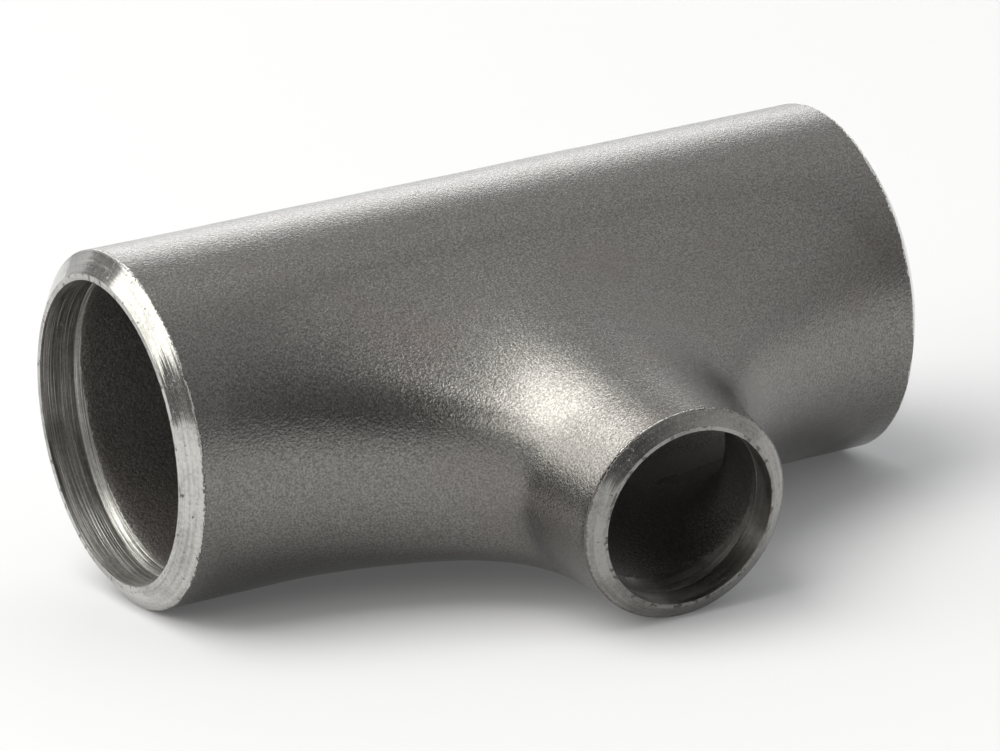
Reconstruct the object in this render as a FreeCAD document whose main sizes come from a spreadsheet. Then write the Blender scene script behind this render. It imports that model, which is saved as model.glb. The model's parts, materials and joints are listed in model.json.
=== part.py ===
import FreeCAD, Part
import math
import os
import Sketcher
from FreeCAD import Placement, Rotation, Vector

# Reducing butt-weld tee: one piece of seamless steel tube, pressed so that the branch grows out of
# the run, then turned at its three ends for welding.
# Millimetres. The run lies along X, the branch leaves towards -Y and +Z is up. The origin is where
# the two axes cross. The piece lies as it comes to rest: on the run's underside and on the lower
# edge of the branch, so the whole piece is turned about X.

doc = FreeCAD.newDocument("ReducingTee")

# Profiles round the branch that the collar's skin runs through
PROFILES = 72

# Driving dimensions
sheet = doc.addObject("Spreadsheet::Sheet", "Sizes")
driving = [
    ("run_od", 33.7, "outside diameter of the run"),
    ("run_length", 77.4, "length of the run, face to face"),
    ("branch_od", 20.35, "outside diameter of the branch at its weld face"),
    ("branch_height", 38.8, "run axis to the branch's weld face"),
    ("foot_gap", 3.3, "plain tube left between the blend's foot and each run face"),
    ("foot_width", 0.9, "how far round the run the foot reaches, as a part of the run's radius"),
    ("foot_squareness", 5.47, "outline of the foot: 2 gives an ellipse, more is squarer"),
    ("foot_sink", 0.04, "how far the blend's foot lies under the run's skin"),
    ("foot_rise", 1.0, "how much steeper than the run's skin the blend leaves it, in degrees"),
    ("crotch_foot_pull", 0.35, "how far the blend keeps to the run at the crotches, as a part of one"),
    ("flank_foot_pull", 0.61, "how far the blend keeps to the run on the flanks, as a part of one"),
    ("crotch_neck_pull", 0.42, "how far the blend keeps to the neck's line at the crotches"),
    ("flank_neck_pull", 0.65, "how far the blend keeps to the neck's line on the flanks"),
    ("crotch_neck", 8.95, "straight side of the neck at the two crotches, down from the weld face"),
    ("flank_neck", 5.97, "straight side of the neck on the two flanks, down from the weld face"),
    ("crotch_draft", 9.84, "draft of the neck's side at the crotches, in degrees"),
    ("flank_draft", 2.66, "draft of the neck's side on the flanks, in degrees"),
    ("neck_stock", 48.0, "height of the neck before its end is cut off"),
    ("raw_run_wall", 2.85, "wall of the run as formed"),
    ("raw_neck_wall", 2.4, "wall of the neck as formed"),
    ("bore_shift", 0.22, "how far the formed bore lies off the outside's axis"),
    ("run_wall", 2.6, "wall of the run at its turned ends"),
    ("branch_wall", 1.72, "wall of the branch at its turned end"),
    ("run_land", 0.62, "flat ring left at the foot of a run bevel"),
    ("branch_land", 0.4, "flat ring left at the foot of the branch bevel"),
    ("bevel_angle", 35.0, "slope of the weld bevels, from the face, in degrees"),
    ("run_turned", 3.5, "length of a run end's turned bore"),
    ("branch_turned", 2.7, "length of the branch end's turned bore"),
    ("run_in_angle", 18.0, "slope from a turned bore down to the formed bore, in degrees"),
    ("run_in_drop", 0.65, "how far that slope goes in towards the axis"),
    ("tool_over", 6.0, "how far the turning tools reach past the metal"),
]
for row, (alias, value, note) in enumerate(driving, start=1):
    sheet.set("A%d" % row, note)
    sheet.set("B%d" % row, str(value))
    sheet.setAlias("B%d" % row, alias)
doc.recompute()


def bind(thing, **expressions):
    """Bind properties of an object to the sheet."""
    for name, expression in expressions.items():
        thing.setExpression(name, expression)


def collar_profile(turn, run_radius, neck_radius, top):
    """The collar's side in the half-plane at one angle round the branch, as six points.

    Each point is its distance from the branch's axis and its height above the run's axis: inside
    the run, at the blend's foot, the two poles that pull the blend along the run and along the
    neck, at the shoulder where the neck's straight side starts, and at the neck's top.
    """
    along, across = math.cos(turn), math.sin(turn)
    foot_reach = sheet.run_length / 2 - sheet.foot_gap
    squareness = sheet.foot_squareness
    part_along = (abs(along) / foot_reach) ** squareness
    part_across = (abs(across) / (sheet.foot_width * run_radius)) ** squareness
    foot = (part_along + part_across) ** (-1 / squareness)
    foot_height = math.sqrt((run_radius - sheet.foot_sink) ** 2 - (foot * across) ** 2)

    # The neck's side is straight for longer at the crotch than on the flank, and leans more there
    straight = sheet.crotch_neck * along ** 2 + sheet.flank_neck * across ** 2
    draft = sheet.crotch_draft * along ** 2 + sheet.flank_draft * across ** 2
    lean = math.tan(math.radians(draft))
    shoulder = neck_radius + straight * lean
    shoulder_height = sheet.branch_height - straight

    # The blend leaves the run along its skin, a little steeper, and comes up to the neck's side
    start = math.atan2(foot * across ** 2, -foot_height) - math.radians(sheet.foot_rise)
    reach = shoulder - foot + lean * (shoulder_height - foot_height)
    reach = reach / (math.cos(start) + lean * math.sin(start))
    corner, corner_height = foot + reach * math.cos(start), foot_height + reach * math.sin(start)
    low = sheet.crotch_foot_pull * along ** 2 + sheet.flank_foot_pull * across ** 2
    high = sheet.crotch_neck_pull * along ** 2 + sheet.flank_neck_pull * across ** 2
    return [
        (foot, 0),
        (foot, foot_height),
        (foot + low * (corner - foot), foot_height + low * (corner_height - foot_height)),
        (shoulder + high * (corner - shoulder), shoulder_height + high * (corner_height - shoulder_height)),
        (shoulder, shoulder_height),
        (neck_radius - (top - sheet.branch_height) * lean, top),
    ]


def ring(number, collar):
    """A smooth closed curve through one point of every profile round the branch."""
    points = []
    for step in range(PROFILES):
        turn = 2 * math.pi * step / PROFILES
        distance, height = collar_profile(turn, *collar)[number]
        points.append(Vector(distance * math.cos(turn), -height, distance * math.sin(turn)))
    curve = Part.BSplineCurve()
    even = [step / PROFILES for step in range(PROFILES + 1)]
    curve.interpolate(Points=points, PeriodicFlag=True, Parameters=even)
    return curve


def skin(rings):
    """The faces between rings, a quarter turn each; the middle ones only pull the surface."""
    degree = len(rings) - 1
    poles = [list(row) for row in zip(*(curve.getPoles() for curve in rings))]
    faces = []
    for quarter in range(4):
        surface = Part.BSplineSurface()
        surface.buildFromPolesMultsKnots(
            poles,
            rings[0].getMultiplicities(), [degree + 1, degree + 1],
            rings[0].getKnots(), [0.0, 1.0],
            True, False, 3, degree,
        )
        surface.segment(quarter / 4, (quarter + 1) / 4, 0, 1)
        faces.append(surface.toShape())
    return faces


def cap(curve):
    """The flat face inside a ring."""
    arcs = [curve.toShape(quarter / 4, (quarter + 1) / 4) for quarter in range(4)]
    return Part.Face(Part.Wire(arcs))


def formed_tee(name, run_radius, half_length, neck_radius, top):
    """The tee as pressed, solid: a round run joined to the collar that grows into the neck."""
    run = doc.addObject("Part::Cylinder", name + "Run")
    bind(run, Radius=run_radius, Height="2 * (%s)" % half_length)
    bind(run, **{"Placement.Base.x": "-(%s)" % half_length})
    run.Placement.Rotation = Rotation(Vector(1, 1, 1), 120)
    doc.recompute()

    # The collar's skin has no plain form: its section changes from crotch to flank
    collar = [run.evalExpression(text) for text in (run_radius, neck_radius, top)]
    inside, foot, low, high, shoulder, rim = [ring(number, collar) for number in range(6)]
    faces = skin([inside, foot])
    faces += skin([foot, low, high, shoulder])
    faces += skin([shoulder, rim])
    faces += [cap(inside), cap(rim)]
    closed = Part.makeCompound(faces)
    closed.sewShape()
    solid = Part.makeSolid(closed.Shells[0])
    if solid.Volume < 0:
        solid.reverse()
    neck = doc.addObject("Part::Feature", name + "Collar")
    neck.Shape = solid

    both = doc.addObject("Part::Fuse", name + "Tee")
    both.Base = run
    both.Tool = neck
    return both


def outline(body, name, corners):
    """A closed outline in the plane of both axes, each corner at two bound distances."""
    sketch = body.newObject("Sketcher::SketchObject", name)
    plane = [f for f in body.Origin.OriginFeatures if f.Role == "XY_Plane"][0]
    sketch.AttachmentSupport = [(plane, "")]
    sketch.MapMode = "FlatFace"
    points = [Vector(sketch.evalExpression(a), sketch.evalExpression(b), 0) for a, b in corners]
    count = len(points)
    for i in range(count):
        sketch.addGeometry(Part.LineSegment(points[i], points[(i + 1) % count]), False)
    for i in range(count):
        sketch.addConstraint(Sketcher.Constraint("Coincident", i, 2, (i + 1) % count, 1))
    for i, pair in enumerate(corners):
        for kind, axis, value, expression in zip(("DistanceX", "DistanceY"), (-2, -1), points[i], pair):
            if expression == "0":
                sketch.addConstraint(Sketcher.Constraint("PointOnObject", i, 1, axis))
            else:
                number = sketch.addConstraint(Sketcher.Constraint(kind, i, 1, value))
                sketch.setExpression("Constraints[%d]" % number, expression)
    return sketch


def turned(body, name, axis, corners):
    """Metal turned away round the run's or the branch's axis."""
    cut = body.newObject("PartDesign::Groove", name)
    cut.Profile = outline(body, name + "Outline", corners)
    cut.ReferenceAxis = (cut.Profile[0], [axis])
    cut.Angle = 360
    return cut


# The pressed blank: the outside less its core, which lies a little off its axis
outside = formed_tee(
    "Outside", "Sizes.run_od / 2", "Sizes.run_length / 2", "Sizes.branch_od / 2", "Sizes.neck_stock"
)
core = formed_tee(
    "Core",
    "Sizes.run_od / 2 - Sizes.raw_run_wall",
    "Sizes.run_length / 2 + Sizes.tool_over",
    "Sizes.branch_od / 2 - Sizes.raw_neck_wall",
    "Sizes.neck_stock + Sizes.tool_over",
)
bind(core, **{"Placement.Base.z": "Sizes.bore_shift"})
blank = doc.addObject("Part::Cut", "Blank")
blank.Base = outside
blank.Tool = core
doc.recompute()

# The machined tee
tee = doc.addObject("PartDesign::Body", "Tee")
tee.Label = "tee_body"
tee.BaseFeature = blank
doc.recompute()

slope = "tan(Sizes.bevel_angle * 1 deg)"
run_in = "tan(Sizes.run_in_angle * 1 deg)"

# Weld bevel of a run end: from the land out past the skin
end = "Sizes.run_length / 2"
foot = "Sizes.run_od / 2 - Sizes.run_wall + Sizes.run_land"
rise = "(Sizes.run_wall - Sizes.run_land + Sizes.tool_over)"
run_bevel = turned(tee, "RunBevel", "H_Axis", [
    (end, foot),
    ("%s - %s * %s" % (end, rise, slope), "%s + %s" % (foot, rise)),
    ("%s + Sizes.tool_over" % end, "%s + %s" % (foot, rise)),
    ("%s + Sizes.tool_over" % end, foot),
])

# Turned bore of a run end, with the slope that runs in to the formed bore
bore = "Sizes.run_od / 2 - Sizes.run_wall"
run_bore = turned(tee, "RunBore", "H_Axis", [
    ("%s + Sizes.tool_over" % end, "0"),
    ("%s + Sizes.tool_over" % end, bore),
    ("%s - Sizes.run_turned" % end, bore),
    ("%s - Sizes.run_turned - Sizes.run_in_drop / %s" % (end, run_in), "%s - Sizes.run_in_drop" % bore),
    ("%s - Sizes.run_turned - Sizes.run_in_drop / %s" % (end, run_in), "0"),
])

# The other run end is turned the same way
far_end = tee.newObject("PartDesign::Mirrored", "FarEnd")
far_end.Originals = [run_bevel, run_bore]
far_end.MirrorPlane = ([f for f in tee.Origin.OriginFeatures if f.Role == "YZ_Plane"][0], [""])
tee.Tip = far_end
doc.recompute()

# The neck is cut to height and bevelled in one pass
face = "-Sizes.branch_height"
foot = "Sizes.branch_od / 2 - Sizes.branch_wall + Sizes.branch_land"
rise = "(Sizes.branch_wall - Sizes.branch_land + Sizes.tool_over)"
turned(tee, "BranchBevel", "V_Axis", [
    ("0", face),
    (foot, face),
    ("%s + %s" % (foot, rise), "%s + %s * %s" % (face, rise, slope)),
    ("%s + %s" % (foot, rise), "-Sizes.neck_stock - Sizes.tool_over"),
    ("0", "-Sizes.neck_stock - Sizes.tool_over"),
])

# Turned bore of the branch end
bore = "Sizes.branch_od / 2 - Sizes.branch_wall"
turned(tee, "BranchBore", "V_Axis", [
    ("0", "%s - Sizes.tool_over" % face),
    (bore, "%s - Sizes.tool_over" % face),
    (bore, "%s + Sizes.branch_turned" % face),
    ("%s - Sizes.run_in_drop" % bore, "%s + Sizes.branch_turned + Sizes.run_in_drop / %s" % (face, run_in)),
    ("0", "%s + Sizes.branch_turned + Sizes.run_in_drop / %s" % (face, run_in)),
])
doc.recompute()

# How far the branch sinks until the lower edge of its bevel is level with the run's underside.
# The blend reaches that edge, so its points are read from the solid.
run_radius = sheet.run_od / 2
edge_height = sheet.branch_height - sheet.branch_wall
turns = []
for edge in tee.Shape.Edges:
    for point in edge.discretize(49):
        if -point.y > edge_height and point.z < 0:
            reach = math.hypot(point.y, point.z)
            turns.append(math.asin(run_radius / reach) - math.atan2(-point.z, -point.y))
lie = min(turns)
tee.Placement = Placement(Vector(0, 0, 0), Rotation(Vector(1, 0, 0), math.degrees(lie)))
doc.recompute()

# Nothing is written unless every step of the model worked
failed = [o.Name for o in doc.Objects if "Invalid" in o.State or "Error" in o.State]
if failed:
    raise RuntimeError("failed: " + ", ".join(failed))
os.makedirs("parts", exist_ok=True)
for piece in [tee]:
    shape = piece.Shape
    if shape.isNull() or not shape.isValid() or len(shape.Solids) != 1:
        raise RuntimeError("bad shape: " + piece.Label)
    shape.exportStep("parts/%s.step" % piece.Label)
    box = shape.optimalBoundingBox()
    print(piece.Label, "faces", len(shape.Faces), "volume", round(shape.Volume, 1))
    print("size", round(box.XLength, 2), round(box.YLength, 2), round(box.ZLength, 2), "lowest", round(box.ZMin, 3))
    print("lie", round(math.degrees(lie), 3))
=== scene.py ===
import json
import math

import bmesh
import bpy
from bpy.props import FloatProperty, FloatVectorProperty, PointerProperty
from mathutils import Matrix, Vector, noise


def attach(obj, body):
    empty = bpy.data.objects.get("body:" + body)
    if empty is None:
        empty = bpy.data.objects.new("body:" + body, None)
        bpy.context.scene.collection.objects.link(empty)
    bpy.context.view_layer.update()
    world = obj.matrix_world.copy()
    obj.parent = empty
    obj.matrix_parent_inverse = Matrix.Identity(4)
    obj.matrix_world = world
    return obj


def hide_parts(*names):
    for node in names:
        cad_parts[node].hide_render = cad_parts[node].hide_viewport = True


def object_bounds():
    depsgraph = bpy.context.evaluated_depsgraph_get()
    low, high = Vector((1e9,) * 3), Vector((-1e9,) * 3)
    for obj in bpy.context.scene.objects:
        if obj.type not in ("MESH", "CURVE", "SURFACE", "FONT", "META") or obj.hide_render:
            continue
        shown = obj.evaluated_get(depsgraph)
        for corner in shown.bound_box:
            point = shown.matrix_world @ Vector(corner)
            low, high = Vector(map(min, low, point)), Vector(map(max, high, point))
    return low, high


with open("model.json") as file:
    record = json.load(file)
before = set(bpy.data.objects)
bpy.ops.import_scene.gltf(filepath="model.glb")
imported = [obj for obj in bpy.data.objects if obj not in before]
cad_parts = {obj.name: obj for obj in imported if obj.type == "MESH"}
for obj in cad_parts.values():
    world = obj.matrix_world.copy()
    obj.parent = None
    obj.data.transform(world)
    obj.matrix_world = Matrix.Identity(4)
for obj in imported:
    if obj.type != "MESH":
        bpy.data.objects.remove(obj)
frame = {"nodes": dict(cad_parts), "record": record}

bl_info = {
    "name": "Reducing tee",
    "version": (1, 0, 0),
    "blender": (4, 5, 0),
    "location": "3D View > Sidebar > Tee",
    "description": "A butt-weld reducing tee in blasted steel with turned weld ends, and its studio",
    "category": "Add Mesh",
}

# Metres throughout. The run lies along X, and the branch leaves towards -Y and slopes down a little,
# because the tee rests on the run's underside and on the lower edge of the branch.
CAD_BOX = [list(corner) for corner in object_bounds()]
NODE = "tee_body"
MOUNTS = {mount["name"]: mount for mount in frame["record"]["mounts"]}
BRANCH_AXIS = Vector(MOUNTS["branch_face"]["axis"])
RUN_FACE = MOUNTS["run_face_right"]["pos_m"][0]
BRANCH_FACE = Vector(MOUNTS["branch_face"]["pos_m"]).dot(BRANCH_AXIS)
RUN_BORE = MOUNTS["run_end_bore_right"]["dims"]
BRANCH_BORE = MOUNTS["branch_end_bore"]["dims"]
MM = 0.001

# The finishes, in the order of the tee's material slots. The branch's turned ones follow the run's.
SKIN, INSIDE, BEVEL, FACE, BORE = range(5)
BRANCH = 3

# Where the pressed tee's lining ends and its skin begins, as distances from an axis: all is lining
# within the first, and the others bound the passages of the branch and of the run
LINING_RADIUS = 16.0 * MM
BRANCH_REACH = 13 * MM
RUN_REACH = 18 * MM
LINING_UNEVENNESS = 0.3

# Stock on the three faces, and how far under its bevel each end is cut off for it
FACE_STOCK = 2 * MM
UNDER_BEVEL = 0.1 * MM

# Where each end's bevel meets the skin: back from the face, and out from the axis
RUN_BEVEL_BACK = 1.39 * MM
BRANCH_BEVEL_BACK = 1.0 * MM
RUN_RIM = 16.85 * MM
BRANCH_RIM = 10.25 * MM

# Facets round a turned end, and the angles past which an edge shows as sharp
TURNED_STEPS = 192
SHARP_TURNED = math.radians(10)
SHARP_SKIN = math.radians(24)


def linear(hex_colour):
    """An sRGB hex colour as linear red, green, blue and alpha."""
    parts = [int(hex_colour[i:i + 2], 16) / 255 for i in (1, 3, 5)]
    return [p / 12.92 if p <= 0.04045 else ((p + 0.055) / 1.055) ** 2.4 for p in parts] + [1.0]


def length(name, default, description):
    """A size in metres that the sidebar shows."""
    return FloatProperty(
        name=name, default=default, min=0, precision=5, unit="LENGTH", description=description
    )


def angle(name, default, description):
    """An angle, given in degrees."""
    return FloatProperty(
        name=name, default=math.radians(default), subtype="ANGLE", description=description
    )


def colour(name, hex_colour, description):
    """A colour, given as sRGB hex."""
    return FloatVectorProperty(
        name=name, default=linear(hex_colour), size=4, min=0, max=1, subtype="COLOR",
        description=description,
    )


class TeeSizes(bpy.types.PropertyGroup):
    """Sizes of the turned ends and of the skin's unevenness."""
    run_radius: length("Run radius", CAD_BOX[1][2], "Outside radius of the run")
    run_land: length("Run land", 0.62 * MM, "Flat ring inside a run bevel")
    branch_land: length("Branch land", 0.4 * MM, "Flat ring inside the branch bevel")
    bevel_angle: angle("Bevel angle", 35, "Slope of the weld bevels from the face")
    run_in_angle: angle("Run-in angle", 18, "Slope from a turned bore to the formed bore")
    run_in_drop: length("Run-in drop", 0.65 * MM, "How far the slope goes in towards the axis")
    tool_over: length("Tool overrun", 4 * MM, "How far the turning tools reach past the metal")
    branch_radius: length("Branch radius", 10.35 * MM, "Outside radius of the branch under its bevel")
    bore_stock: length("Bore stock", 0.3 * MM, "Metal that the tools take out of the turned bores")
    groove_width: length("Groove width", 0.3 * MM, "Groove that the tool leaves where it stops")
    groove_depth: length("Groove depth", 0.05 * MM, "Depth of that groove")
    clean_cut: length("Clean cut", 0.03 * MM, "How much deeper a tool cuts, so that it cleans up")
    voxel: length("Skin detail", 0.58 * MM, "Spacing of the skin's vertices")
    swell_width: length("Swell width", 9 * MM, "Width of the forging's slow swells")
    swell_depth: length("Swell depth", 0.07 * MM, "Depth of the slow swells")
    dimple_width: length("Dimple width", 1.8 * MM, "Width of the small dimples")
    dimple_depth: length("Dimple depth", 0.022 * MM, "Depth of the small dimples")


class TeeColours(bpy.types.PropertyGroup):
    """Colours of the steel as formed and as turned."""
    skin: colour("Blasted skin", "#8a8986", "Steel after blasting and pickling")
    skin_dark: colour("Blasted skin, grain", "#676562", "The dark grains of the blasted steel")
    skin_stain: colour("Skin stains", "#776b65", "Brown tint left by pickling")
    bright: colour("Turned steel", "#c4c3bf", "Freshly turned steel")
    # Duller bands of turned steel, at random; the branch end also takes it as its main colour, which is
    # painted shade there
    bright_dark: colour("Turned steel, shaded", "#999894", "Duller bands of the turned steel")
    # Painted shade: the branch end's duller bands, drawn darker than the run's for the dark inside that
    # its bore reflects
    branch_dull: colour("Branch end, dull", "#7c7a77", "Duller bands of the branch's turned steel")
    bore: colour("Formed bore", "#8a8683", "Steel inside, after heating and forming")
    bore_dark: colour("Formed bore, grain", "#686461", "The dark grains of the formed bore")


def ends(sizes):
    """The left, right and branch ends.

    Each is the place of its tools, the outside radius, the bore's radius, the land, the length of the
    turned bore, and how far out its face lies.
    """
    right = Matrix.Identity(4)
    left = Matrix.Rotation(math.pi, 4, "Z")
    branch = BRANCH_AXIS.to_track_quat("X", "Z").to_matrix().to_4x4()
    run_bore, run_depth = RUN_BORE["r_mm"] * MM, RUN_BORE["length_mm"] * MM
    branch_bore, branch_depth = BRANCH_BORE["r_mm"] * MM, BRANCH_BORE["length_mm"] * MM
    run_end = (sizes.run_radius, run_bore, sizes.run_land, run_depth, RUN_FACE)
    branch_end = (sizes.branch_radius, branch_bore, sizes.branch_land, branch_depth, BRANCH_FACE)
    return [(left, *run_end), (right, *run_end), (branch, *branch_end)]


def tool_outline(sizes, radius, bore, land, depth, face):
    """Corners of an end's turning tool, and the finish that each side between them leaves.

    A corner is its distance along the axis and its distance out from it.
    """
    slope = math.tan(sizes.bevel_angle)
    outside = radius + sizes.tool_over
    rise = outside - bore - land
    run_in = sizes.run_in_drop / math.tan(sizes.run_in_angle)
    cut = sizes.clean_cut
    beyond = face + sizes.tool_over
    corners = [
        (beyond, 0),
        (beyond, outside),
        (face - rise * slope - cut, outside),
        (face, bore + land),
        (face, bore + cut),
        (face - depth + sizes.groove_width, bore + cut),
        (face - depth + sizes.groove_width, bore + cut + sizes.groove_depth),
        (face - depth, bore + cut + sizes.groove_depth),
        (face - depth, bore + cut),
        (face - depth - run_in, bore + cut - sizes.run_in_drop),
        (face - depth - run_in, 0),
    ]
    return corners, [FACE, FACE, BEVEL, FACE, BORE, BORE, BORE, BORE, BORE, BORE]


def turning_tool(corners, finishes, place):
    """A closed cutter: the outline turned once round its axis, each face with its side's finish."""
    bm = bmesh.new()
    verts = [bm.verts.new((along, 0, out)) for along, out in corners]
    edges = [bm.edges.new(pair) for pair in zip(verts, verts[1:])]
    bmesh.ops.spin(
        bm, geom=verts + edges, cent=(0, 0, 0), axis=(1, 0, 0), angle=math.tau, steps=TURNED_STEPS,
        use_merge=True, use_duplicate=False,
    )
    bmesh.ops.remove_doubles(bm, verts=bm.verts, dist=1e-7)
    bmesh.ops.recalc_face_normals(bm, faces=bm.faces)
    segments = [(Vector(a), Vector(b)) for a, b in zip(corners, corners[1:])]
    for face in bm.faces:
        middle = face.calc_center_median()
        spot = Vector((middle.x, math.hypot(middle.y, middle.z)))
        gaps = [segment_gap(spot, *segment) for segment in segments]
        face.material_index = finishes[gaps.index(min(gaps))]
    bmesh.ops.transform(bm, matrix=place, verts=bm.verts)
    return bm


def segment_gap(spot, start, end):
    """Distance from a spot to a straight segment."""
    span = end - start
    share = min(max((spot - start).dot(span) / span.length_squared, 0), 1)
    return (spot - start - span * share).length


def new_object(name, mesh):
    """An object at the origin, in the scene."""
    made = bpy.data.objects.new(name, mesh)
    bpy.context.scene.collection.objects.link(made)
    return made


def applied(made, name):
    """The object's mesh with its modifiers applied; the object itself goes."""
    bpy.context.view_layer.update()
    depsgraph = bpy.context.evaluated_depsgraph_get()
    mesh = bpy.data.meshes.new_from_object(made.evaluated_get(depsgraph))
    mesh.name = name
    bpy.data.objects.remove(made)
    return mesh


def leave_stock(bm, sizes):
    """Closes the bores in where they will be turned, so that the tools clean up all the way round."""
    for place, radius, bore, land, depth, face in ends(sizes):
        back = place.inverted()
        for vert in bm.verts:
            along, across, up = back @ vert.co
            out = math.hypot(across, up)
            if along > face - depth and bore - sizes.bore_stock < out < bore + land:
                share = (bore - sizes.bore_stock) / out
                vert.co = place @ Vector((along, across * share, up * share))


def uncut_stock(sizes):
    """The tee as it leaves the press: the CAD solid with stock on its three ends."""
    bm = bmesh.new()
    bm.from_mesh(frame["nodes"][NODE].data)
    bmesh.ops.remove_doubles(bm, verts=bm.verts, dist=1e-6)
    for place, radius, bore, land, depth, face in ends(sizes):
        axis = (place.to_3x3() @ Vector((1, 0, 0))).normalized()
        below = (radius - bore - land) * math.tan(sizes.bevel_angle) + UNDER_BEVEL
        cut = bmesh.ops.bisect_plane(
            bm, geom=bm.verts[:] + bm.edges[:] + bm.faces[:], dist=1e-7,
            plane_co=axis * (face - below), plane_no=axis, clear_outer=True,
        )
        rim = [g for g in cut["geom_cut"] if isinstance(g, bmesh.types.BMEdge) and g.is_boundary]
        raised = bmesh.ops.extrude_edge_only(bm, edges=rim)["geom"]
        raised_verts = [g for g in raised if isinstance(g, bmesh.types.BMVert)]
        bmesh.ops.translate(bm, vec=axis * (below + FACE_STOCK), verts=raised_verts)
        top = [g for g in raised if isinstance(g, bmesh.types.BMEdge) and g.is_boundary]
        bmesh.ops.bridge_loops(bm, edges=top)
    bmesh.ops.recalc_face_normals(bm, faces=bm.faces)
    mesh = bpy.data.meshes.new("stock")
    bm.to_mesh(mesh)
    bm.free()
    return mesh


def take_finishes(mesh, finishes):
    """Gives a mesh the tee's material slots, before its faces get theirs."""
    mesh.materials.clear()
    for finish in finishes:
        mesh.materials.append(finish)


def is_inside(spot, outwards):
    """Whether a spot of the pressed tee lines its inside: there it faces the axis that it runs along."""
    out_branch = spot - BRANCH_AXIS * spot.dot(BRANCH_AXIS)
    out_run = Vector((0, spot.y, spot.z))
    if out_run.length < LINING_RADIUS:
        return True
    if spot.dot(BRANCH_AXIS) > 0 and out_branch.length < BRANCH_REACH:
        return outwards.dot(out_branch) < 0
    return outwards.dot(out_run) < 0 and out_run.length < RUN_REACH


def uneven(bm, sizes):
    """Slow swells and small dimples of the pressed skin, all of them inwards; the lining is smoother."""
    bm.normal_update()
    for vert in bm.verts:
        swell = noise.noise(vert.co / sizes.swell_width) - 1
        dimple = noise.noise(vert.co / sizes.dimple_width + Vector((7, 7, 7))) - 1
        depth = swell * sizes.swell_depth / 2 + dimple * sizes.dimple_depth / 2
        if is_inside(vert.co, vert.normal):
            depth *= LINING_UNEVENNESS
        vert.co += vert.normal * depth


def pressed_tee(sizes, finishes):
    """The tee as it comes from the press, as one even mesh with its uneven skin."""
    stock = new_object("stock", uncut_stock(sizes))
    remesh = stock.modifiers.new("Skin", "REMESH")
    remesh.mode = "VOXEL"
    remesh.voxel_size = sizes.voxel
    pressed = applied(stock, "pressed")
    take_finishes(pressed, finishes)
    bm = bmesh.new()
    bm.from_mesh(pressed)
    uneven(bm, sizes)
    leave_stock(bm, sizes)
    for face in bm.faces:
        face.material_index = INSIDE if is_inside(face.calc_center_median(), face.normal) else SKIN
    bm.to_mesh(pressed)
    bm.free()
    return pressed


def turning_tools(sizes, finishes):
    """The three ends' tools in one mesh, so that one cut turns all the ends."""
    tools = bpy.data.meshes.new("tools")
    take_finishes(tools, finishes)
    joined = bmesh.new()
    for first_finish, (place, *shape) in zip((0, 0, BRANCH), ends(sizes)):
        corners, kinds = tool_outline(sizes, *shape)
        tool = turning_tool(corners, [kind + first_finish for kind in kinds], place)
        tool.to_mesh(tools)
        tool.free()
        joined.from_mesh(tools)
    joined.to_mesh(tools)
    joined.free()
    return tools


def mark_edges(mesh):
    """Smooth faces, with sharp edges where two surfaces meet at a clear angle."""
    bm = bmesh.new()
    bm.from_mesh(mesh)
    for face in bm.faces:
        face.smooth = True
    for edge in bm.edges:
        turned_edge = min(face.material_index for face in edge.link_faces) >= BEVEL
        edge.smooth = edge.calc_face_angle(0) < (SHARP_TURNED if turned_edge else SHARP_SKIN)
    bm.to_mesh(mesh)
    bm.free()


class TEE_OT_body(bpy.types.Operator):
    """Press the tee's body with its uneven skin, then turn its three weld ends"""
    bl_idname = "tee.body"
    bl_label = "Tee body"

    def execute(self, context):
        sizes = context.scene.tee_sizes
        finishes = steel_finishes(context.scene.tee_colours)
        body = new_object("tee", pressed_tee(sizes, finishes))
        cutter = new_object("tools", turning_tools(sizes, finishes))
        turn = body.modifiers.new("Turned ends", "BOOLEAN")
        turn.operation = "DIFFERENCE"
        turn.solver = "EXACT"
        turn.object = cutter
        turned = applied(body, "tee")
        bpy.data.objects.remove(cutter)
        mark_edges(turned)
        tee = new_object("tee", turned)
        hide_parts(NODE)
        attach(tee, "root")
        return {"FINISHED"}


def node(tree, kind, inputs=None, **settings):
    """Adds a shader node with its settings; an input that is given a socket is linked to it."""
    made = tree.nodes.new("ShaderNode" + kind)
    for name, value in settings.items():
        setattr(made, name, value)
    for name, value in (inputs or {}).items():
        if isinstance(value, bpy.types.NodeSocket):
            tree.links.new(value, made.inputs[name])
        else:
            made.inputs[name].default_value = value
    return made


def new_material(name):
    """A material with an empty node tree."""
    made = bpy.data.materials.new(name)
    made.use_nodes = True
    made.node_tree.nodes.clear()
    return made, made.node_tree


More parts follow.
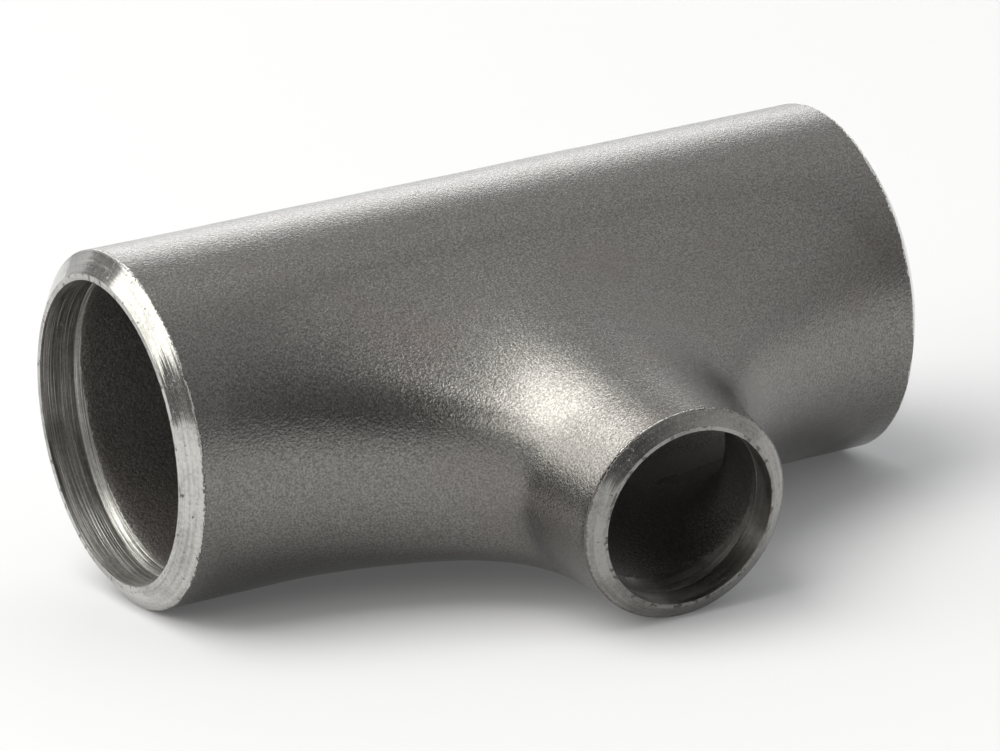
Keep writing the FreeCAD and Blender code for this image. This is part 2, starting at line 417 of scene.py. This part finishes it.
def blasted_skin(name, steel, dark, stain, bright, grain, roughness, depth):
    """Pressed steel, blasted with grit and pickled.

    The grit leaves an orange peel of small dimples, one grain wide, that breaks every reflection into
    specks, with a finer grain on top, and pickling leaves soft brown clouds. Where a bevel was cut, the
    tool has dragged bright flecks of bare metal over the edge.
    """
    cloud_width = 12 * MM
    fleck_width = 0.3 * MM
    gap_width = 3 * MM
    fleck_reach = 0.5 * MM
    fleck_over = 0.1 * MM
    made, tree = new_material(name)
    place = node(tree, "TexCoord").outputs["Object"]

    grit = node(tree, "TexNoise", {
        "Vector": place, "Scale": 1 / (0.55 * grain), "Detail": 2.0, "Roughness": 0.7,
    })
    speck = node(tree, "MapRange", {"Value": grit.outputs["Fac"], "From Min": 0.38, "From Max": 0.62})
    grey = node(tree, "Mix", {"Factor": speck.outputs[0], "A": dark, "B": steel}, data_type="RGBA")
    cloud = node(tree, "TexNoise", {"Vector": place, "Scale": 1 / cloud_width, "Detail": 3.0})
    stained = node(tree, "MapRange", {
        "Value": cloud.outputs["Fac"], "From Min": 0.5, "From Max": 0.8, "To Max": 0.4,
    })
    tint = node(tree, "Mix", {
        "Factor": stained.outputs[0], "A": grey.outputs["Result"], "B": stain,
    }, data_type="RGBA")

    # The bright flecks thicken towards the edge of the nearer bevel, with gaps between them
    part = node(tree, "SeparateXYZ", {"Vector": place})
    along_run = node(tree, "Math", {0: part.outputs["X"]}, operation="ABSOLUTE")
    along_branch = node(tree, "VectorMath", {0: place, 1: BRANCH_AXIS}, operation="DOT_PRODUCT")
    fleck = node(tree, "TexNoise", {"Vector": place, "Scale": 1 / fleck_width, "Detail": 3.0})
    gap = node(tree, "TexNoise", {"Vector": place, "Scale": 1 / gap_width, "Detail": 1.0})
    edges = []
    for along, edge in (
        (along_run.outputs[0], RUN_FACE - RUN_BEVEL_BACK),
        (along_branch.outputs["Value"], BRANCH_FACE - BRANCH_BEVEL_BACK),
    ):
        edges.append(node(tree, "MapRange", {
            "Value": along, "From Min": edge - fleck_reach, "From Max": edge + fleck_over,
            "To Min": -0.6, "To Max": 0.35,
        }))
    near = node(tree, "Math", {0: edges[0].outputs[0], 1: edges[1].outputs[0]}, operation="MAXIMUM")
    near = node(tree, "Math", {0: near.outputs[0], 1: fleck.outputs["Fac"]}, operation="ADD")
    near = node(tree, "Math", {0: near.outputs[0], 1: gap.outputs["Fac"]}, operation="ADD")
    bare = node(tree, "MapRange", {"Value": near.outputs[0], "From Min": 1.0, "From Max": 1.15})
    flecked = node(tree, "Mix", {
        "Factor": bare.outputs[0], "A": tint.outputs["Result"], "B": bright,
    }, data_type="RGBA")
    gloss = node(tree, "MapRange", {"Value": bare.outputs[0], "To Min": roughness, "To Max": 0.25})

    dents = node(tree, "TexNoise", {
        "Vector": place, "Scale": 1 / (0.7 * grain), "Detail": 3.0, "Roughness": 0.7,
    })
    cells = node(tree, "TexVoronoi", {
        "Vector": place, "Scale": 1 / grain, "Smoothness": 0.5,
    }, feature="SMOOTH_F1")
    peel = node(tree, "Math", {0: cells.outputs["Distance"], 1: 0.3}, operation="MULTIPLY")
    peel = node(tree, "Math", {0: dents.outputs["Fac"], 1: peel.outputs[0]}, operation="ADD")
    burr = node(tree, "Math", {0: fleck.outputs["Fac"], 1: bare.outputs[0]}, operation="MULTIPLY")
    burr = node(tree, "Math", {0: burr.outputs[0], 1: 4.0}, operation="MULTIPLY")
    peel = node(tree, "Math", {0: burr.outputs[0], 1: peel.outputs[0]}, operation="ADD")
    relief = node(tree, "Bump", {"Height": peel.outputs[0], "Distance": depth, "Strength": 1.0})
    shader = node(tree, "BsdfPrincipled", {
        "Base Color": flecked.outputs["Result"], "Metallic": 1.0, "Roughness": gloss.outputs[0],
        "Normal": relief.outputs[0],
    })
    node(tree, "OutputMaterial", {"Surface": shader.outputs[0]})
    return made


def turned_steel(name, axis, rim, bright, dull, dark, pitch, roughness, depth, waves, nicks):
    """Steel cut on a lathe: bright, with fine rings round its axis where the tool passed.

    Each ring bends the reflection a little, so that the lights are drawn out into fine lines, and the
    rings come in slow waves. The real feed is finer than the picture shows, so the rings are drawn a
    few times coarser. The metal has since been handled: it has a satin mottle, short scratches and
    small dark nicks, and its outer edge, at the rim's radius, is ragged.
    """
    wave_pitch = 5 * pitch
    satin_width = 0.35 * MM
    patch_width = 4 * MM
    nick_width = 0.6 * MM
    fray_width = 0.4 * MM
    scratch_size = (1.6 * MM, 0.07 * MM, 0.07 * MM)
    mark_depth = 0.03 * MM
    made, tree = new_material(name)
    turn = axis.to_track_quat("X", "Z").inverted().to_euler()
    place = node(tree, "TexCoord").outputs["Object"]
    place = node(tree, "Mapping", {"Vector": place, "Rotation": turn}).outputs[0]
    part = node(tree, "SeparateXYZ", {"Vector": place})
    flat = node(tree, "CombineXYZ", {"Y": part.outputs["Y"], "Z": part.outputs["Z"]})
    out = node(tree, "VectorMath", {0: flat.outputs[0]}, operation="LENGTH").outputs["Value"]
    unit = node(tree, "VectorMath", {0: flat.outputs[0]}, operation="NORMALIZE")
    way = node(tree, "SeparateXYZ", {"Vector": unit.outputs[0]})

    def rings(spacing, round_scale, detail):
        """Noise that changes over one spacing across the rings, and slowly round them."""
        along = node(tree, "Math", {0: part.outputs["X"], 1: 1 / spacing}, operation="MULTIPLY")
        across = node(tree, "Math", {0: out, 1: 1 / spacing}, operation="MULTIPLY")
        level = node(tree, "Math", {0: way.outputs["Y"], 1: round_scale}, operation="MULTIPLY")
        height = node(tree, "Math", {0: way.outputs["Z"], 1: round_scale}, operation="MULTIPLY")
        spot = node(tree, "CombineXYZ", {
            "X": along.outputs[0], "Y": across.outputs[0], "Z": level.outputs[0],
        })
        return node(tree, "TexNoise", {
            "Vector": spot.outputs[0], "W": height.outputs[0], "Scale": 1.0, "Detail": detail,
        }, noise_dimensions="4D").outputs["Fac"]

    fine = rings(pitch, 1.6, 2.0)
    broad = rings(wave_pitch, 1.2, 1.0)
    satin = node(tree, "TexNoise", {
        "Vector": place, "Scale": 1 / satin_width, "Detail": 4.0, "Roughness": 0.6,
    })
    patch = node(tree, "TexNoise", {"Vector": place, "Scale": 1 / patch_width, "Detail": 2.0})
    worn = node(tree, "Math", {0: satin.outputs["Fac"], 1: patch.outputs["Fac"]}, operation="ADD")
    worn = node(tree, "Math", {0: worn.outputs[0], 1: fine}, operation="ADD")
    worn = node(tree, "MapRange", {"Value": worn.outputs[0], "From Min": 1.3, "From Max": 1.8})
    grey = node(tree, "Mix", {"Factor": worn.outputs[0], "A": bright, "B": dull}, data_type="RGBA")

    nick = node(tree, "TexNoise", {"Vector": place, "Scale": 1 / nick_width, "Detail": 3.0})
    nicked = node(tree, "MapRange", {
        "Value": nick.outputs["Fac"], "From Min": nicks, "From Max": nicks + 0.04,
    })
    fray = node(tree, "MapRange", {
        "Value": out, "From Min": rim - fray_width, "From Max": rim, "To Min": -0.5, "To Max": 0.2,
    })
    fray = node(tree, "Math", {0: fray.outputs[0], 1: satin.outputs["Fac"]}, operation="ADD")
    frayed = node(tree, "MapRange", {"Value": fray.outputs[0], "From Min": 0.5, "From Max": 0.6})
    marred = node(tree, "Math", {0: nicked.outputs[0], 1: frayed.outputs[0]}, operation="MAXIMUM")
    marked = node(tree, "Mix", {
        "Factor": marred.outputs[0], "A": grey.outputs["Result"], "B": dark,
    }, data_type="RGBA")

    slant = node(tree, "Mapping", {
        "Vector": place, "Rotation": (0.9, 0.5, 0.3), "Scale": scratch_size,
    }, vector_type="TEXTURE")
    scratch = node(tree, "TexNoise", {"Vector": slant.outputs[0], "Scale": 1.0, "Detail": 0.0})
    scratched = node(tree, "MapRange", {
        "Value": scratch.outputs["Fac"], "From Min": 0.74, "From Max": 0.8,
    })
    gloss = node(tree, "MapRange", {
        "Value": broad, "From Min": 0.3, "From Max": 0.7,
        "To Min": roughness * 0.7, "To Max": roughness * 1.3,
    })
    mark = node(tree, "Math", {0: marred.outputs[0], 1: scratched.outputs[0]}, operation="SUBTRACT")
    hollow = node(tree, "Bump", {
        "Height": mark.outputs[0], "Distance": mark_depth, "Strength": 1.0,
    }, invert=True)
    waved = node(tree, "Bump", {
        "Height": broad, "Distance": waves, "Strength": 1.0, "Normal": hollow.outputs[0],
    })
    relief = node(tree, "Bump", {
        "Height": fine, "Distance": depth, "Strength": 1.0, "Normal": waved.outputs[0],
    })
    shader = node(tree, "BsdfPrincipled", {
        "Base Color": marked.outputs["Result"], "Metallic": 1.0, "Roughness": gloss.outputs[0],
        "Normal": relief.outputs[0],
    })
    node(tree, "OutputMaterial", {"Surface": shader.outputs[0]})
    return made


def steel_finishes(colours):
    """The tee's materials, in the order of its slots."""
    # The grit reaches little of the bores, so they keep a duller and rougher skin than the outside
    finishes = [
        blasted_skin(
            "blasted_pickled_steel", colours.skin, colours.skin_dark, colours.skin_stain, colours.bright,
            grain=0.34 * MM, roughness=0.18, depth=0.046 * MM,
        ),
        blasted_skin(
            "formed_steel_bore", colours.bore, colours.bore_dark, colours.bore_dark, colours.bore,
            grain=0.4 * MM, roughness=0.55, depth=0.08 * MM,
        ),
    ]

    # The branch end is drawn greyer than the run's: painted shade for the dark inside its bore reflects.
    # Pitch, depth and waves are in millimetres, and the more nicks there are, the lower is their value.
    run = (Vector((1, 0, 0)), RUN_RIM, colours.bright, colours.bright_dark, colours.bore_dark)
    branch = (BRANCH_AXIS, BRANCH_RIM, colours.bright_dark, colours.branch_dull, colours.bore_dark)
    for name, steel, cut in (
        ("run_bevel", run, dict(pitch=0.3, roughness=0.13, depth=0.025, waves=0.05, nicks=0.68)),
        ("run_face", run, dict(pitch=0.15, roughness=0.3, depth=0.01, waves=0.02, nicks=0.6)),
        ("run_bore", run, dict(pitch=0.17, roughness=0.42, depth=0.07, waves=0.05, nicks=0.74)),
        ("branch_bevel", branch, dict(pitch=0.3, roughness=0.17, depth=0.025, waves=0.05, nicks=0.7)),
        ("branch_face", branch, dict(pitch=0.15, roughness=0.3, depth=0.02, waves=0.04, nicks=0.56)),
        ("branch_bore", branch, dict(pitch=0.14, roughness=0.45, depth=0.03, waves=0.03, nicks=0.74)),
    ):
        for size in ("pitch", "depth", "waves"):
            cut[size] *= MM
        finishes.append(turned_steel("turned_steel_" + name, *steel, **cut))
    return finishes


class TeeStudio(bpy.types.PropertyGroup):
    """Camera, floor and lights."""
    azimuth: angle("Camera azimuth", 27.644, "How far the camera stands to the left of the front")
    elevation: angle("Camera elevation", 16.5205, "How far the camera looks down")
    roll: angle("Camera roll", -4.1597, "How far the camera is turned about its own axis")
    distance: length("Camera distance", 0.63819, "Camera to the point it looks at")
    aim: FloatVectorProperty(
        name="Camera aim", default=(0.00119923, -0.00140143, -0.00230962), size=3, precision=5,
        subtype="XYZ_LENGTH", description="Where the camera looks",
    )
    lens: FloatProperty(name="Lens", default=245.475, description="Focal length on a 36 mm sensor")
    backdrop_radius: length("Backdrop distance", 1.5, "From the tee to the backdrop")
    backdrop_height: length("Backdrop height", 0.32, "Height of the backdrop board")
    backdrop_turn: angle("Backdrop start", 125, "Where the backdrop starts, round from the front")
    backdrop_sweep: angle("Backdrop sweep", 80, "How far the backdrop goes round")
    floor: colour("Floor", "#c9cacc", "Pale studio floor")
    floor_lift: FloatProperty(
        name="Floor lift", default=0.08, min=0,
        description="Extra brightness of the floor, as the camera and the metal see it",
    )
    floor_radius: length("Floor radius", 3.0, "Radius of the studio floor")
    box_distance: length("Soft box distance", 1.5, "From the tee to each soft box")
    light_side: FloatVectorProperty(
        name="Light side", default=(0.7, 0.3, 0.5), size=3, subtype="XYZ",
        description="Towards the room's light side, with its length as the contrast",
    )
    room_dim: colour("Room, dim side", "#787878", "The room at the front left")
    room_light: colour("Room, light side", "#e4e4e4", "The room at the top right")


# Soft boxes: name, azimuth and elevation, width and height as seen from the tee, all in degrees, then
# brightness where white is 1, and colour
SOFT_BOXES = [
    ("left_box_top", -115, 67, 52, 38, 4.6, "#fffdf8"),
    ("left_box", -97, 33, 80, 32, 2.5, "#fffdf8"),
    ("overhead_box", 135, 77, 16, 14, 1.3, "#fffdf8"),
    ("back_box", 160, 17, 32, 24, 2.7, "#ffffff"),
]


def direction(azimuth, elevation):
    """A unit vector: azimuth from the front, -Y, towards +X, and elevation upwards."""
    flat = math.cos(elevation)
    return Vector((math.sin(azimuth) * flat, -math.cos(azimuth) * flat, math.sin(elevation)))


def floor_material(studio):
    """Pale painted board: it takes the tee's shadow, and shows as a white ground."""
    made, tree = new_material("pale_painted_board")
    rays = node(tree, "LightPath").outputs
    seen = node(tree, "Math", {0: rays["Is Camera Ray"], 1: rays["Is Glossy Ray"]}, operation="MAXIMUM")
    seen = node(tree, "Math", {0: seen.outputs[0], 1: rays["Is Transmission Ray"]}, operation="MAXIMUM")
    lift = node(tree, "Math", {0: seen.outputs[0], 1: studio.floor_lift}, operation="MULTIPLY")
    shader = node(tree, "BsdfPrincipled", {
        "Base Color": studio.floor, "Roughness": 0.9, "Specular IOR Level": 0.0,
        "Emission Color": (1, 1, 1, 1), "Emission Strength": lift.outputs[0],
    })
    node(tree, "OutputMaterial", {"Surface": shader.outputs[0]})
    return made


def board_mesh(name, bm, scene):
    """A mesh of pale board that was drawn on the ground plane, let down to where the tee rests."""
    bmesh.ops.translate(bm, vec=(0, 0, -scene.tee_sizes.run_radius), verts=bm.verts)
    mesh = bpy.data.meshes.new(name)
    bm.to_mesh(mesh)
    bm.free()
    mesh.materials.append(floor_material(scene.tee_studio))
    return mesh


def room_world(studio):
    """The studio's grey room, lighter on one side, which the steel reflects."""
    world = bpy.data.worlds.new("studio_room")
    world.use_nodes = True
    world.node_tree.nodes.clear()
    tree = world.node_tree
    way = node(tree, "TexCoord").outputs["Generated"]
    side = node(tree, "VectorMath", {0: way, 1: studio.light_side}, operation="DOT_PRODUCT")
    share = node(tree, "MapRange", {
        "Value": side.outputs["Value"], "From Min": -0.2, "From Max": 0.9,
    })
    grey = node(tree, "Mix", {
        "Factor": share.outputs[0], "A": studio.room_dim, "B": studio.room_light,
    }, data_type="RGBA")
    room = node(tree, "Background", {"Color": grey.outputs["Result"], "Strength": 1.0})
    node(tree, "OutputWorld", {"Surface": room.outputs[0]})
    return world


def hang_soft_boxes(scene, distance):
    """Soft boxes round the tee, each facing it."""
    for name, azimuth, elevation, width, height, brightness, tone in SOFT_BOXES:
        lamp = bpy.data.lights.new(name, "AREA")
        lamp.shape = "RECTANGLE"
        lamp.size = 2 * distance * math.tan(math.radians(width / 2))
        lamp.size_y = 2 * distance * math.tan(math.radians(height / 2))
        lamp.energy = math.pi * lamp.size * lamp.size_y * brightness
        lamp.color = linear(tone)[:3]
        away = direction(math.radians(azimuth), math.radians(elevation))
        light = bpy.data.objects.new(name, lamp)
        aimed = away.to_track_quat("Z", "Y").to_matrix().to_4x4()
        light.matrix_world = Matrix.Translation(away * distance) @ aimed
        light.visible_camera = False
        scene.collection.objects.link(light)


def place_camera(scene, studio):
    """The camera, at the place and angle that the photograph was taken from."""
    lens = bpy.data.cameras.new("camera")
    lens.sensor_width = 36
    lens.lens = studio.lens
    lens.clip_end = 20
    camera = bpy.data.objects.new("camera", lens)
    back = direction(-studio.azimuth, studio.elevation)
    upright = back.to_track_quat("Z", "Y").to_matrix().to_4x4()
    camera.matrix_world = (
        Matrix.Translation(Vector(studio.aim) + back * studio.distance) @ upright
        @ Matrix.Rotation(studio.roll, 4, "Z")
    )
    scene.collection.objects.link(camera)
    scene.camera = camera


class TEE_OT_stage(bpy.types.Operator):
    """Set up the floor, the room, the lights and the camera"""
    bl_idname = "tee.stage"
    bl_label = "Stage"

    def execute(self, context):
        scene = context.scene
        studio = scene.tee_studio

        bm = bmesh.new()
        bmesh.ops.create_circle(bm, cap_ends=True, segments=96, radius=studio.floor_radius)
        mesh = board_mesh("floor", bm, scene)
        new_object("floor", mesh)

        bm = bmesh.new()
        foot = bm.verts.new(direction(studio.backdrop_turn, 0) * studio.backdrop_radius)
        top = bm.verts.new(foot.co + Vector((0, 0, studio.backdrop_height)))
        bmesh.ops.spin(
            bm, geom=[foot, top, bm.edges.new((foot, top))], cent=(0, 0, 0), axis=(0, 0, 1),
            angle=studio.backdrop_sweep, steps=48, use_merge=False, use_duplicate=False,
        )
        mesh = board_mesh("backdrop", bm, scene)
        new_object("backdrop", mesh)

        scene.world = room_world(studio)
        hang_soft_boxes(scene, studio.box_distance)
        place_camera(scene, studio)
        scene.view_settings.view_transform = "Standard"
        return {"FINISHED"}


class TEE_PT_panel(bpy.types.Panel):
    """The tee's sizes, colours and pieces"""
    bl_idname = "TEE_PT_panel"
    bl_label = "Reducing tee"
    bl_space_type = "VIEW_3D"
    bl_region_type = "UI"
    bl_category = "Tee"

    def draw(self, context):
        for group in (context.scene.tee_sizes, context.scene.tee_colours, context.scene.tee_studio):
            box = self.layout.box()
            for name in group.__annotations__:
                box.prop(group, name)
        self.layout.operator("tee.body")
        self.layout.operator("tee.stage")


GROUPS = {"tee_sizes": TeeSizes, "tee_colours": TeeColours, "tee_studio": TeeStudio}
CLASSES = [*GROUPS.values(), TEE_OT_body, TEE_OT_stage, TEE_PT_panel]


def register():
    for item in CLASSES:
        bpy.utils.register_class(item)
    for name, group in GROUPS.items():
        setattr(bpy.types.Scene, name, PointerProperty(type=group))


def unregister():
    for name in GROUPS:
        delattr(bpy.types.Scene, name)
    for item in reversed(CLASSES):
        bpy.utils.unregister_class(item)


def main():
    register()
    bpy.ops.tee.body()
    bpy.ops.tee.stage()


if __name__ == "__main__":
    main()
